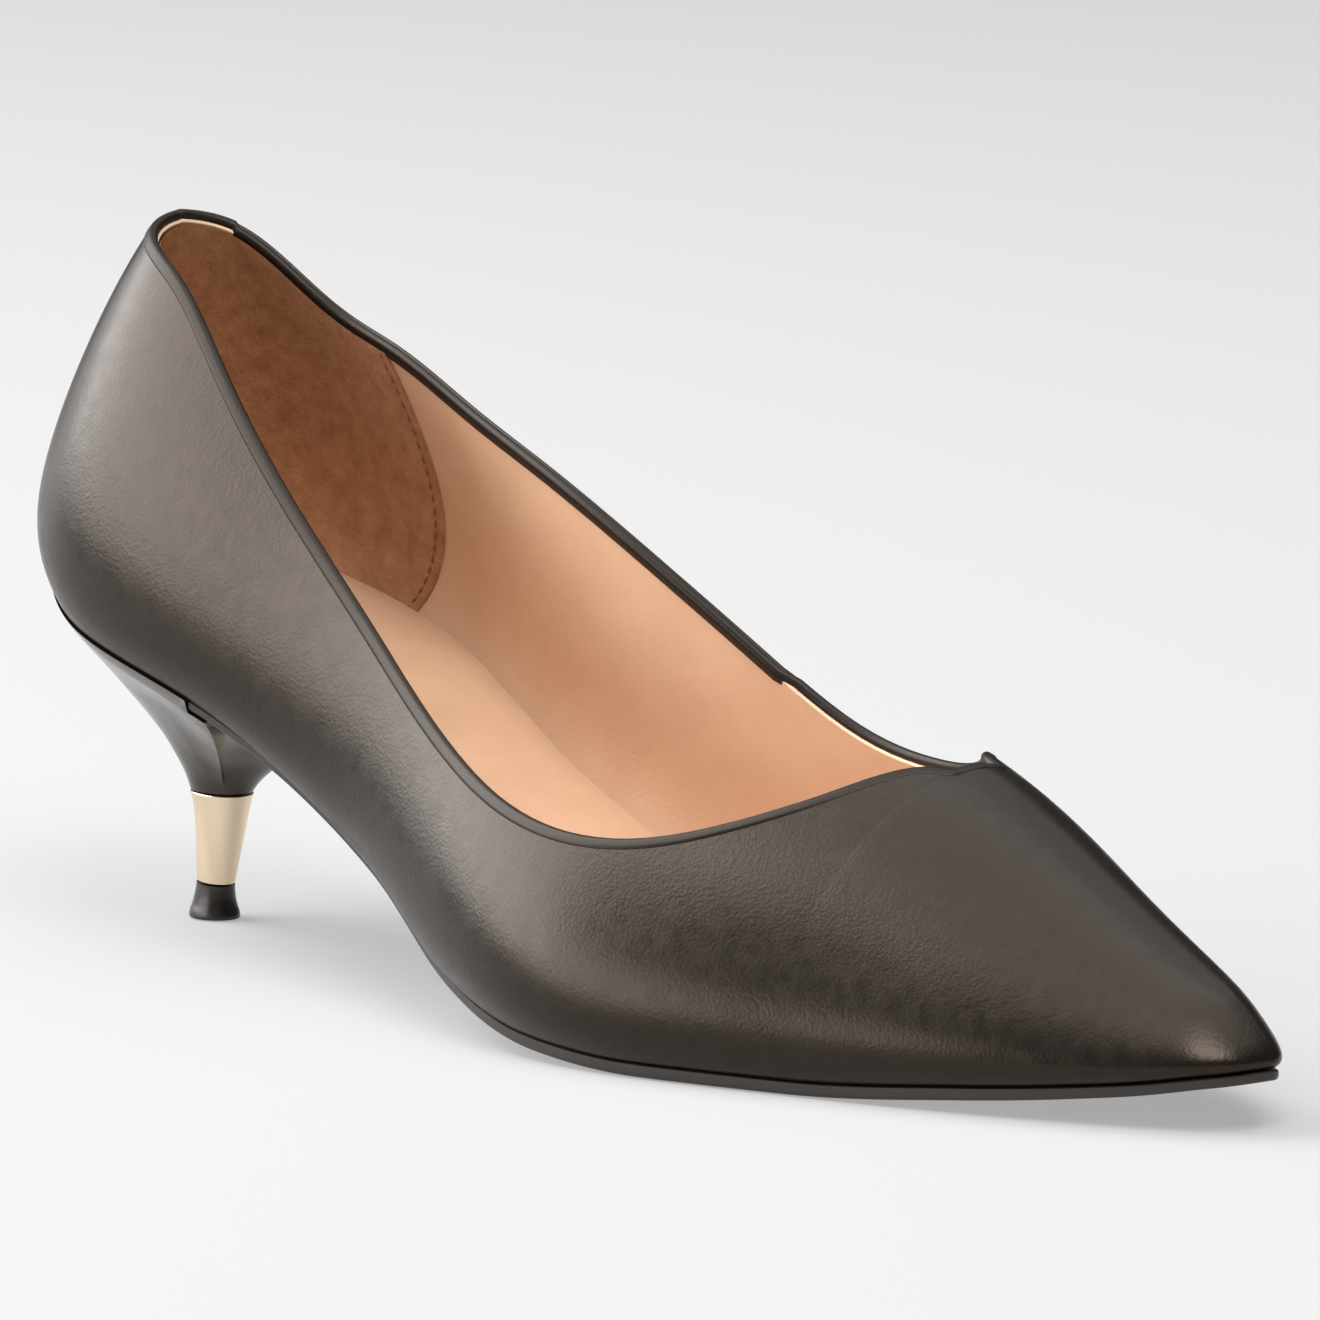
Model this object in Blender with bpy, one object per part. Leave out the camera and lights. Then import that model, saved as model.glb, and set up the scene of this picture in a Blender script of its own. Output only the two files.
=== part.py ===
"""Kitten heel pump, a right shoe, standing on its sole.

Metres. +X points to the toe, +Y to the inner side of the foot and +Z up. The floor is z = 0, and x = 0 is the
back of the feather line, the edge where upper and sole meet. Each piece is worked out from one last: its
sections stand on the feather line and rise to its ridge, which is the cone's top at the heel.
"""

import math

import bmesh
import bpy
import numpy as np

# Driving sizes
LENGTH = 0.252
BALL_WIDTH = 0.070
HEEL_RISE = 0.0525
BACK_TOP = 0.108
THROAT_X = 0.188
WALL = 0.0020
LAP = 0.0008
CLEAR = 0.0003
SOLE = 0.0020
INSOLE = 0.0045
INSOLE_BEVEL = 0.0006
INSOLE_TIP = 0.0035  # how far its blunt end is taken from behind the tip
INSOLE_SHARE = 0.3  # its most, as a share of the last's height, in the toe
STEM_TOP = 0.0196
LIFT_TOP = 0.0055

# The last. along is a share of LENGTH, outer and inner (half widths) of BALL_WIDTH, feather and ridge
# (heights) of HEEL_RISE. fullness is the power of the section's superellipse, and swell, of BALL_WIDTH, is
# how far the wall bellies out over the feather line.
LAST_COLUMNS = ("along", "outer", "inner", "feather", "ridge", "fullness", "swell")
LAST_ROWS = (
    (0.000, 0.000, 0.000, 1.000, 2.323, 1.72, 0.061),
    (0.025, 0.212, 0.214, 0.986, 2.221, 1.78, 0.058),
    (0.095, 0.352, 0.352, 0.873, 2.069, 1.86, 0.054),
    (0.205, 0.365, 0.372, 0.735, 1.895, 1.86, 0.056),
    (0.375, 0.382, 0.300, 0.388, 1.630, 1.88, 0.058),
    (0.480, 0.488, 0.352, 0.168, 1.386, 1.90, 0.058),
    (0.580, 0.555, 0.440, 0.070, 1.121, 1.92, 0.056),
    (0.660, 0.515, 0.480, 0.044, 0.966, 1.89, 0.050),
    (0.750, 0.408, 0.474, 0.044, 0.820, 1.88, 0.043),
    (0.855, 0.270, 0.355, 0.077, 0.594, 1.92, 0.036),
    (0.945, 0.120, 0.248, 0.122, 0.413, 2.00, 0.028),
    (0.988, 0.015, 0.157, 0.156, 0.356, 2.10, 0.022),
    (1.000, -0.104, 0.104, 0.166, 0.343, 2.10, 0.020),
)
SWELL_PEAK = 0.25  # share of the section's height where it bellies out most
CONE_LEAN = 0.0369  # how far the cone's top leans forward at the back
CONE_FADE = 0.032
TOE_LEAN = 0.0075  # how far the ridge ends behind the tip
TOE_FADE = 0.012
TOE_CURVE = 1.6  # the power of the curve that rises to it
RIDGE_INWARD = 0.0055  # the ridge's shift to the inner side

# The topline. along is a share of LENGTH, outer and inner (heights) of BACK_TOP
TOPLINE_COLUMNS = ("along", "outer", "inner")
TOPLINE_ROWS = (
    (0.050, 0.990, 0.990),
    (0.080, 0.958, 0.958),
    (0.127, 0.910, 0.869),
    (0.190, 0.796, 0.812),
    (0.260, 0.662, 0.750),
    (0.345, 0.522, 0.681),
    (0.435, 0.403, 0.580),
    (0.500, 0.343, 0.488),
    (0.570, 0.305, 0.390),
    (0.640, 0.308, 0.361),
    (0.690, 0.347, 0.377),
    (0.716, 0.380, 0.401),
    (0.735, 0.4045, 0.4085),
)

# The seams where the main piece laps over the inner quarter, as shares of LENGTH
BACK_SEAM = 0.026
FRONT_SEAM = 0.522

# The sole. along is a share of LENGTH, inset (from the feather line) of BALL_WIDTH, thick of SOLE
SOLE_COLUMNS = ("along", "inset", "thick")
SOLE_ROWS = (
    (0.190, 0.004, 0.80),
    (0.300, 0.012, 0.75),
    (0.420, 0.010, 0.85),
    (0.560, 0.004, 1.00),
    (0.800, 0.004, 1.00),
    (0.930, 0.002, 0.90),
    (1.000, -0.008, 0.75),
)
SOLE_BEVEL = 0.0007

# The heel block. rise is a share of its height. back and front say how far it has spread by then, from the
# stem's outline to the seat's, behind the stem and before it
HEEL_COLUMNS = ("rise", "back", "front")
HEEL_ROWS = (
    (0.00, 0.00, 0.00),
    (0.08, 0.04, 0.035),
    (0.19, 0.12, 0.10),
    (0.31, 0.22, 0.18),
    (0.42, 0.33, 0.27),
    (0.54, 0.46, 0.37),
    (0.65, 0.585, 0.48),
    (0.77, 0.725, 0.62),
    (0.88, 0.86, 0.78),
    (1.00, 1.00, 1.00),
)
SEAT_OUTSET = 0.0003
BREAST_X = 0.0545
SOLE_END_X = 0.051
NOTCH = 0.00006  # the length of the step before the sole's end
STEM_X = 0.0255
STEM_LEAN = 0.0018  # how far ahead of the lift the collar's top stands
STEM_TILT = 0.09  # slope of the collar's end faces
STEM_RADIUS = 0.0051  # half length of the oval at the collar's top
COLLAR_RADIUS = 0.0031  # at its foot
COLLAR_FLARE = 0.2  # the share of its widening that comes right at its top
LIFT_RADIUS = 0.00415  # at the floor
STEM_OVAL = 0.88  # the oval's width as a share of its length
CORE = 0.72  # the stem inside the collar, as a share of the collar
COLLAR_EDGE = 0.0003

# The lift, from its top down. drop is a share of its height, spread of its flare
LIFT_COLUMNS = ("drop", "spread")
LIFT_ROWS = (
    (0.00, 0.00),
    (0.30, 0.17),
    (0.60, 0.52),
    (0.85, 0.93),
    (0.94, 1.00),
    (1.00, 0.84),
)

# Mesh. The steps of the upper are counted behind the topline's turn, in it and ahead of the throat, and TURN is
# that turn's length in stations. SEAM_ROOM keeps other stations away from a seam's pair.
ROWS = 13
ROW_CROWD = 1.25  # over 1, the rows of a section lie closer at its foot
BACK_STEPS = 22
TURN = 0.07
TURN_STEPS = 8
TOE_STEPS = 15
SEAM_ROOM = 0.008
INSOLE_STEPS = 41
SOLE_STEPS = 36
SEAT_STEPS = 12
BREAST_STEPS = 6
BREAST_ACROSS = 9
ROUND_STEPS = 32
COLLAR_STEPS = 7
WELD = 1e-6

BLACK = (0.028, 0.024, 0.021, 1)
TAN = (0.68, 0.38, 0.20, 1)
GOLD = (0.80, 0.62, 0.42, 1)


def column(rows, columns, name):
    return np.array([row[columns.index(name)] for row in rows])


def station_of(x):
    """The station, 0 at the back and 1 at the tip, that lies at x. Equal steps of it crowd at the round ends."""
    return np.arccos(1 - 2 * np.clip(np.asarray(x) / LENGTH, 0, 1)) / math.pi


def smooth(at, knots, values):
    """A natural cubic spline through the knots."""
    gap = np.diff(knots)
    slope = np.diff(values) / gap
    count = len(knots)
    matrix = np.eye(count)
    right = np.zeros(count)
    for i in range(1, count - 1):
        matrix[i, i - 1 : i + 2] = gap[i - 1], 2 * (gap[i - 1] + gap[i]), gap[i]
        right[i] = 6 * (slope[i] - slope[i - 1])
    bend = np.linalg.solve(matrix, right)
    at = np.clip(at, knots[0], knots[-1])
    i = np.clip(np.searchsorted(knots, at, side="right") - 1, 0, count - 2)
    left, rest = at - knots[i], knots[i + 1] - at
    cubic = (bend[i] * rest**3 + bend[i + 1] * left**3) / (6 * gap[i])
    first = (values[i] / gap[i] - bend[i] * gap[i] / 6) * rest
    return cubic + first + (values[i + 1] / gap[i] - bend[i + 1] * gap[i] / 6) * left


def level(at, knots, values):
    """A curve through the knots that never overshoots them, level at its ends and between equal ones."""
    gap = np.diff(knots)
    slope = np.diff(values) / gap
    tangent = np.zeros(len(knots))
    for i in range(1, len(knots) - 1):
        if slope[i - 1] * slope[i] > 0:
            before, after = gap[i] * 2 + gap[i - 1], gap[i] + gap[i - 1] * 2
            tangent[i] = (before + after) / (before / slope[i - 1] + after / slope[i])
    at = np.clip(at, knots[0], knots[-1])
    i = np.clip(np.searchsorted(knots, at, side="right") - 1, 0, len(knots) - 2)
    t = (at - knots[i]) / gap[i]
    ends = values[i] * (1 + 2 * t) * (1 - t) ** 2 + values[i + 1] * t**2 * (3 - 2 * t)
    return ends + gap[i] * (tangent[i] * t * (1 - t) ** 2 + tangent[i + 1] * t**2 * (t - 1))


LAST_STATIONS = station_of(column(LAST_ROWS, LAST_COLUMNS, "along") * LENGTH)


def last_column(name, stations, curve=smooth):
    return curve(stations, LAST_STATIONS, column(LAST_ROWS, LAST_COLUMNS, name))


def ridge_height(stations):
    """The ridge's height. Its knots are mirrored past the tip, so that it ends there level in stations."""
    knots = np.append(LAST_STATIONS, 2 - LAST_STATIONS[-2])
    values = column(LAST_ROWS, LAST_COLUMNS, "ridge")
    return HEEL_RISE * smooth(stations, knots, np.append(values, values[-2]))


def feather_line(side, stations):
    """Points of the feather line on one side, "outer" or "inner", and the directions that point out of it."""
    sign = -1 if side == "outer" else 1
    x = LENGTH * (1 - np.cos(math.pi * stations)) / 2
    y = sign * BALL_WIDTH * last_column(side, stations)
    z = HEEL_RISE * last_column("feather", stations, level)
    step = 1e-4
    after, before = np.clip(stations + step, 0, 1), np.clip(stations - step, 0, 1)
    run = LENGTH * (np.cos(math.pi * before) - np.cos(math.pi * after)) / 2
    rise = BALL_WIDTH * (last_column(side, after) - last_column(side, before))
    out = np.stack([-rise, sign * run, 0 * x], -1) / np.hypot(run, rise)[:, None]
    out[stations <= 0] = (-1, 0, 0)
    out[stations >= 1] = (1, 0, 0)
    return np.stack([x, y, z], -1), out


def toe_lean(x):
    return TOE_LEAN * np.exp((x - LENGTH) / TOE_FADE)


def ridge_line(stations):
    """The line where the two sides meet over the toe, and the cone's middle line behind the throat."""
    x = LENGTH * (1 - np.cos(math.pi * stations)) / 2
    x_ridge = x + CONE_LEAN * np.exp(-x / CONE_FADE) - toe_lean(x)
    share = np.clip(x_ridge / (LENGTH - TOE_LEAN), 0, 1)
    tip = BALL_WIDTH * LAST_ROWS[-1][LAST_COLUMNS.index("inner")]
    y = tip * share**2 + RIDGE_INWARD * np.sin(math.pi * share**1.5)
    return np.stack([x_ridge, y, ridge_height(stations)], -1)


def last_skin(side, stations, angle):
    """The last's surface, from the feather line (angle 0) to the ridge (a right angle)."""
    foot, out = feather_line(side, stations)
    top = ridge_line(stations)
    power = 2 / last_column("fullness", stations)[:, None]
    up = np.sin(angle) ** power
    over = 1 - np.clip(np.cos(angle), 0, 1) ** power
    swell = BALL_WIDTH * last_column("swell", stations)[:, None]
    belly = swell * (up / SWELL_PEAK) * np.exp(1 - up / SWELL_PEAK) * (1 - up)
    points = foot[:, None] + belly[..., None] * out[:, None]
    points[..., :2] += (top - foot)[:, None, :2] * over[..., None]
    points[..., 0] += toe_lean(foot[:, 0])[:, None] * (over - up**TOE_CURVE)
    points[..., 2] += (top - foot)[:, None, 2] * up
    return points


def throat_station():
    stations = np.linspace(0.5, 0.9, 400)
    return float(np.interp(THROAT_X, ridge_line(stations)[:, 0], stations))


def topline_height(side, x):
    """The topline seen from the side. Past the throat it runs on, over the ridge."""
    throat = ridge_line(np.array([throat_station()]))[0]
    along = np.append(column(TOPLINE_ROWS, TOPLINE_COLUMNS, "along") * LENGTH, throat[0])
    heights = np.append(column(TOPLINE_ROWS, TOPLINE_COLUMNS, side) * BACK_TOP, throat[2])
    return smooth(np.clip(x, None, throat[0]), along, heights)


def topline_angle(side, stations):
    """The angle at which each section reaches the topline, or a right angle past the throat."""
    angle = np.linspace(0, math.pi / 2, 241)
    points = last_skin(side, stations, np.broadcast_to(angle, (len(stations), len(angle))))
    above = points[..., 2] - topline_height(side, points[..., 0])
    top = np.full(len(stations), math.pi / 2)
    for i in np.flatnonzero(ridge_line(stations)[:, 0] < THROAT_X - 1e-6):
        crossing = int(np.argmax(above[i] > 0))
        if crossing:
            low, high = above[i, crossing - 1], above[i, crossing]
            top[i] = angle[crossing - 1] + (angle[1] - angle[0]) * low / (low - high)
    return top


def upper_stations(side):
    """Even stations, closer before the throat, where the topline turns, and a pair at each of the inner seams."""
    throat = throat_station()
    start = throat - TURN
    behind = np.linspace(0, start, BACK_STEPS)
    turn = throat - TURN * np.linspace(1, 0, TURN_STEPS)[1:] ** 2
    ahead = np.linspace(throat, 1, TOE_STEPS)[1:]
    plain = np.concatenate([behind, turn, ahead])
    if side == "outer":
        return plain
    seams = station_of([BACK_SEAM * LENGTH, FRONT_SEAM * LENGTH])
    ramp = station_of([BACK_SEAM * LENGTH - LAP, FRONT_SEAM * LENGTH + LAP])
    near = np.abs(plain[:, None] - seams[None]).min(axis=1) < SEAM_ROOM
    return np.sort(np.concatenate([plain[~near], seams, ramp]))


def new_object(name, bm, color, roughness, metallic=0.0):
    """One named piece with its own material, in the shoe's collection."""
    mesh = bpy.data.meshes.new(name)
    bm.to_mesh(mesh)
    bm.free()
    mesh.shade_smooth()
    mesh.set_sharp_from_angle(angle=math.radians(35))
    material = bpy.data.materials.new(name)
    material.use_nodes = True
    shader = material.node_tree.nodes["Principled BSDF"]
    shader.inputs["Base Color"].default_value = color
    shader.inputs["Roughness"].default_value = roughness
    shader.inputs["Metallic"].default_value = metallic
    mesh.materials.append(material)
    piece = bpy.data.objects.new(name, mesh)
    bpy.data.collections["kitten_heel_pump"].objects.link(piece)
    return piece


def grid_faces(bm, verts, rows, columns, flip=False):
    """Four-sided faces between neighbouring rows and columns of vertices."""
    for i in range(rows - 1):
        for j in range(columns - 1):
            corners = [
                verts[i * columns + j],
                verts[(i + 1) * columns + j],
                verts[(i + 1) * columns + j + 1],
                verts[i * columns + j + 1],
            ]
            bm.faces.new(corners[::-1] if flip else corners)


def add_grid(bm, points, flip=False):
    """A grid of points as a patch of faces."""
    rows, columns = points.shape[:2]
    verts = [bm.verts.new(point) for point in points.reshape(-1, 3)]
    grid_faces(bm, verts, rows, columns, flip)
    return verts


def upper():
    """One wall from the feather line to the topline. Over the inner quarter its outside is lower by a lap."""
    bm = bmesh.new()
    sink = bm.verts.layers.float.new("sink")
    quarter = station_of([BACK_SEAM * LENGTH, FRONT_SEAM * LENGTH])
    back_angle = topline_angle("outer", np.array([0.0]))
    for side in ("outer", "inner"):
        stations = upper_stations(side)
        top = np.concatenate([back_angle, topline_angle(side, stations[1:])])
        angle = top[:, None] * np.linspace(0, 1, ROWS + 1)[None] ** ROW_CROWD
        verts = add_grid(bm, last_skin(side, stations, angle), flip=side == "inner")
        if side == "inner":
            for vert, station in zip(verts, np.repeat(stations, ROWS + 1)):
                vert[sink] = LAP if quarter[0] <= station <= quarter[1] else 0
    bmesh.ops.remove_doubles(bm, verts=bm.verts, dist=WELD)
    thicken(bm, sink)
    new_object("upper", bm, BLACK, 0.35)


def thicken(bm, sink):
    """Close an open skin with its inner face and rims. Its lower rim is level."""
    bm.normal_update()
    outside = list(bm.verts)
    faces = list(bm.faces)
    edges = [edge for edge in bm.edges if edge.is_boundary]
    loops = [edge.link_loops[0] for edge in edges]
    rims = [(loop.vert, loop.link_loop_next.vert) for loop in loops]
    low = {vert for edge in edges for vert in edge.verts if on_feather(vert)}
    inside = {}
    for vert in outside:
        place = vert.co - vert.normal * WALL
        if vert in low:
            place.z = vert.co.z
        inside[vert] = place
    for vert in outside:
        normal = vert.normal.copy()
        inside[vert] = bm.verts.new(inside[vert])
        vert.co -= normal * vert[sink]
    for face in faces:
        bm.faces.new([inside[vert] for vert in reversed(face.verts)])
    for first, second in rims:
        bm.faces.new([second, first, inside[first], inside[second]])


def on_feather(vert):
    """Whether a vertex is at the height of the feather line below it."""
    station = station_of(np.array([vert.co.x]))
    return abs(vert.co.z - HEEL_RISE * last_column("feather", station, level)[0]) < WALL


def ring(stations, inset, drop):
    """The feather line of both sides, moved in and down, as two rows of points: outer and inner."""
    sides = []
    for side in ("outer", "inner"):
        foot, out = feather_line(side, stations)
        points = foot - out * np.reshape(inset, (-1, 1))
        points[:, 2] -= drop
        sides.append(points)
    return sides


def plate(bm, levels):
    """A plate from rings stacked top to bottom, each of an outer and an inner row of points."""
    outer = np.stack([level_rows[0] for level_rows in levels])
    inner = np.stack([level_rows[1] for level_rows in levels])
    add_grid(bm, outer, flip=True)
    add_grid(bm, inner)
    add_grid(bm, np.stack([outer[0], inner[0]]))
    add_grid(bm, np.stack([outer[-1], inner[-1]]), flip=True)
    add_grid(bm, np.stack([outer[:, 0], inner[:, 0]]), flip=True)
    add_grid(bm, np.stack([outer[:, -1], inner[:, -1]]))
    close_up(bm)


def close_up(bm):
    """Weld the patches of a solid into one closed surface that faces out."""
    bmesh.ops.remove_doubles(bm, verts=bm.verts, dist=WELD)
    flat = [face for face in bm.faces if face.calc_area() < 1e-12]
    bmesh.ops.delete(bm, geom=flat, context="FACES_ONLY")
    bmesh.ops.recalc_face_normals(bm, faces=bm.faces)


def skin_at(side, stations, rise):
    """The last's surface at a height over the feather line."""
    foot = feather_line(side, stations)[0]
    up = rise / (ridge_line(stations) - foot)[:, 2]
    angle = np.arcsin(up ** (last_column("fullness", stations) / 2))
    return last_skin(side, stations, angle[:, None])[:, 0]


def clear_of_wall(side, stations, rise):
    """Points a little clear of the upper's inner face, whose wall is wider across where it slants."""
    out = feather_line(side, stations)[1]
    point = skin_at(side, stations, rise)
    climb = skin_at(side, stations, rise + WALL) - point
    slope = (climb * out).sum(axis=1) / climb[:, 2]
    return point - out * ((WALL + CLEAR) * np.hypot(1, slope))[:, None]


def insole():
    """Board and sock in one, its side along the upper's inner face."""
    stations = np.linspace(0, station_of(LENGTH - INSOLE_TIP), INSOLE_STEPS)
    room = (ridge_line(stations) - feather_line("outer", stations)[0])[:, 2]
    height = np.minimum(INSOLE, INSOLE_SHARE * room)
    side_rows = [
        [clear_of_wall(side, stations, rise) for side in ("outer", "inner")]
        for rise in (height, height - INSOLE_BEVEL, 0 * height)
    ]
    for points, side in zip(side_rows[0], ("outer", "inner")):
        points -= feather_line(side, stations)[1] * INSOLE_BEVEL
    bm = bmesh.new()
    plate(bm, side_rows)
    new_object("insole", bm, TAN, 0.6)


def sole_column(name, stations):
    knots = station_of(column(SOLE_ROWS, SOLE_COLUMNS, "along") * LENGTH)
    return level(stations, knots, column(SOLE_ROWS, SOLE_COLUMNS, name))


def outsole():
    """A thin sole under the feather line, from its end on the heel's seat to the tip. It is flat at the tread."""
    stations = np.linspace(station_of(SOLE_END_X + CLEAR), 1, SOLE_STEPS)
    inset = BALL_WIDTH * sole_column("inset", stations)
    thick = SOLE * sole_column("thick", stations)
    bevel = np.minimum(SOLE_BEVEL, thick / 3)
    levels = [
        ring(stations, inset, CLEAR),
        ring(stations, inset, CLEAR + thick - bevel),
        ring(stations, inset + bevel, CLEAR + thick),
    ]
    for rows in levels[1:]:
        for points in rows:
            points[:, 2] = np.maximum(points[:, 2], 0 if rows is levels[2] else SOLE_BEVEL)
    bm = bmesh.new()
    plate(bm, levels)
    new_object("outsole", bm, BLACK, 0.45)


def stem_oval(radius, z, angles):
    """An oval around the stem, which leans forward and is cut a little aslant above the lift."""
    ahead = radius * np.cos(angles)
    middle = STEM_X + STEM_LEAN * (1 - math.cos(math.pi * z / STEM_TOP)) / 2
    heights = z - ahead * STEM_TILT * np.interp(z, [0, LIFT_TOP, STEM_TOP], [0, 1, 0.3])
    return np.stack([middle + ahead, radius * STEM_OVAL * np.sin(angles), heights], -1)


def seat_outline():
    """The heel's top edge on both sides, from the back to the breast: with a step before the sole, and smooth."""
    back = np.linspace(0, station_of(SOLE_END_X), SEAT_STEPS)
    front = np.linspace(station_of(SOLE_END_X + NOTCH), station_of(BREAST_X), BREAST_STEPS)
    stations = np.concatenate([back, front])
    under_sole = np.arange(len(stations)) >= SEAT_STEPS
    thick = SOLE * sole_column("thick", stations)
    inset = BALL_WIDTH * sole_column("inset", stations)
    cut = thick + CLEAR
    share = np.clip(stations / station_of(SOLE_END_X), 0, 1)
    ramp = share**4
    stepped = ring(stations, np.where(under_sole, inset, -SEAT_OUTSET), CLEAR + np.where(under_sole, cut, 0))
    return stepped, ring(stations, inset * ramp - SEAT_OUTSET * (1 - ramp), CLEAR + cut * ramp)


def around_seat(outer, inner):
    """One row of points around the seat, from the outer side over the back to the inner side and the breast."""
    across = np.linspace(outer[-1], inner[-1], BREAST_ACROSS)[1:-1]
    return np.concatenate([outer[::-1], inner[1:], across[::-1]]), across


def heel():
    """The covered block: from the seat, notched for the sole's end, it narrows to a stem in the collar."""
    (outer, inner), smooth_edges = seat_outline()
    top, across = around_seat(outer, inner)
    around = around_seat(*smooth_edges)[0]
    angles = np.arctan2(around[:, 1] / inner[:, 1].max(), around[:, 0] / STEM_X - 1)
    shoulder = stem_oval(STEM_RADIUS, STEM_TOP, angles)
    rings = [top]
    ahead = np.clip(np.cos(angles), 0, 1) ** 2
    corner = np.maximum(1, np.hypot(around[:, 0] - STEM_X, around[:, 1]) / (BREAST_X - STEM_X))
    for rise, back, front in HEEL_ROWS[-2::-1]:
        spread = (back + (front - back) * ahead) / corner ** (1 - rise)
        points = shoulder + (around - shoulder) * spread[:, None]
        points[:, 2] = shoulder[:, 2] + (around - shoulder)[:, 2] * rise
        rings.append(points)
    rings.append(stem_oval(STEM_RADIUS * CORE, STEM_TOP, angles))
    rings.append(stem_oval(COLLAR_RADIUS * CORE, LIFT_TOP, angles))
    bm = bmesh.new()
    side = np.stack(rings)
    add_grid(bm, np.concatenate([side, side[:, :1]], axis=1))
    add_grid(bm, np.stack([outer[:-1], inner[:-1]]))
    front = np.concatenate([outer[-2:], across, inner[-1:], inner[-2:-1]])
    bm.faces.new([bm.verts.new(point) for point in front])
    bm.faces.new([bm.verts.new(point) for point in rings[-1]])
    close_up(bm)
    new_object("heel", bm, BLACK, 0.25)


def stem_piece(name, profile, color, roughness, metallic=0.0):
    """A piece around the stem, as a loft through its ovals. The profile holds pairs of radius and height."""
    angles = np.linspace(0, 2 * math.pi, ROUND_STEPS + 1)[:-1]
    rings = np.stack([stem_oval(radius, height, angles) for radius, height in profile])
    bm = bmesh.new()
    add_grid(bm, np.concatenate([rings, rings[:, :1]], axis=1))
    if not np.allclose(rings[0], rings[-1]):
        bm.faces.new([bm.verts.new(point) for point in rings[0]])
        bm.faces.new([bm.verts.new(point) for point in rings[-1]])
    close_up(bm)
    new_object(name, bm, color, roughness, metallic)


def collar_radius(share):
    """The collar's radius at a share of its height."""
    spread = share * (1 - COLLAR_FLARE) + COLLAR_FLARE * share**6
    return COLLAR_RADIUS + (STEM_RADIUS - COLLAR_RADIUS) * spread


def heel_collar():
    """A metal sleeve that tapers down the stem and flares at its top."""
    top, foot = STEM_TOP - CLEAR, LIFT_TOP
    profile = [(CORE * COLLAR_RADIUS + CLEAR, foot), (COLLAR_RADIUS - COLLAR_EDGE, foot)]
    for share in np.linspace(0, 1, COLLAR_STEPS):
        height = foot + COLLAR_EDGE + (top - foot - 2 * COLLAR_EDGE) * share
        profile.append((collar_radius(share), height))
    profile += [(STEM_RADIUS - COLLAR_EDGE, top), (CORE * STEM_RADIUS + CLEAR, top), profile[0]]
    stem_piece("heel_collar", profile, GOLD, 0.25, 1.0)


def top_lift():
    """The lift flares down to the floor, where its edge is rounded."""
    top = LIFT_TOP - CLEAR
    profile = []
    for drop, spread in LIFT_ROWS:
        profile.append((COLLAR_RADIUS + (LIFT_RADIUS - COLLAR_RADIUS) * spread, top * (1 - drop)))
    stem_piece("top_lift", profile, BLACK, 0.4)


def main():
    for leftover in list(bpy.data.objects):
        bpy.data.objects.remove(leftover)
    shoe = bpy.data.collections.new("kitten_heel_pump")
    bpy.context.scene.collection.children.link(shoe)
    upper()
    insole()
    outsole()
    heel()
    heel_collar()
    top_lift()
    origin = bpy.data.objects.new("shoe", None)
    origin.location = (-STEM_X, 0, 0)
    for piece in shoe.objects:
        piece.parent = origin
    shoe.objects.link(origin)


main()
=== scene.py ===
"""Kitten heel pump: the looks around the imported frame.

Metres, in the frame of the CAD: the origin is the centre of the top lift's face on the floor, +X points to the toe,
+Y to the inner side of the foot and +Z up. The last's sizes and functions are those of the part's source, whose x
starts at the back of the feather line, so each mesh is moved back by STEM_X when it is made.
"""

import math

import bmesh
import bpy
import numpy as np
from mathutils import Matrix, Vector


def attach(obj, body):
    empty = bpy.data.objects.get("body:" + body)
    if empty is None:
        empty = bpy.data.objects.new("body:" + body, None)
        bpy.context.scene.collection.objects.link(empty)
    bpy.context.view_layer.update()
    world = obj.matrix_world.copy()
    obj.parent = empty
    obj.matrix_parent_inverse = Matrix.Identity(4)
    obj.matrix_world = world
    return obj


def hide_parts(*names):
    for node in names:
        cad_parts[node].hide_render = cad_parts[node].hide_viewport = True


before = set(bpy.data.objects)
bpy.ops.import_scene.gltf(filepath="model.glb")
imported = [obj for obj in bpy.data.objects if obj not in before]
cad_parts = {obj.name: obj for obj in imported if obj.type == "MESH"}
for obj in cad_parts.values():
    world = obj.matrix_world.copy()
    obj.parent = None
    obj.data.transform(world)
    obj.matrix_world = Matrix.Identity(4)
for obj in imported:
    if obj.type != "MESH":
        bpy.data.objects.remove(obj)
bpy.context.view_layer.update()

# Driving sizes, as in the part's source
LENGTH = 0.252
BALL_WIDTH = 0.070
HEEL_RISE = 0.0525
BACK_TOP = 0.108
THROAT_X = 0.188
WALL = 0.0020
LAP = 0.0008
CLEAR = 0.0003
SOLE = 0.0020
INSOLE = 0.0045
INSOLE_TIP = 0.0035  # how far its blunt end is taken from behind the tip
INSOLE_SHARE = 0.3  # its most, as a share of the last's height, in the toe
STEM_TOP = 0.0196
LIFT_TOP = 0.0055

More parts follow.
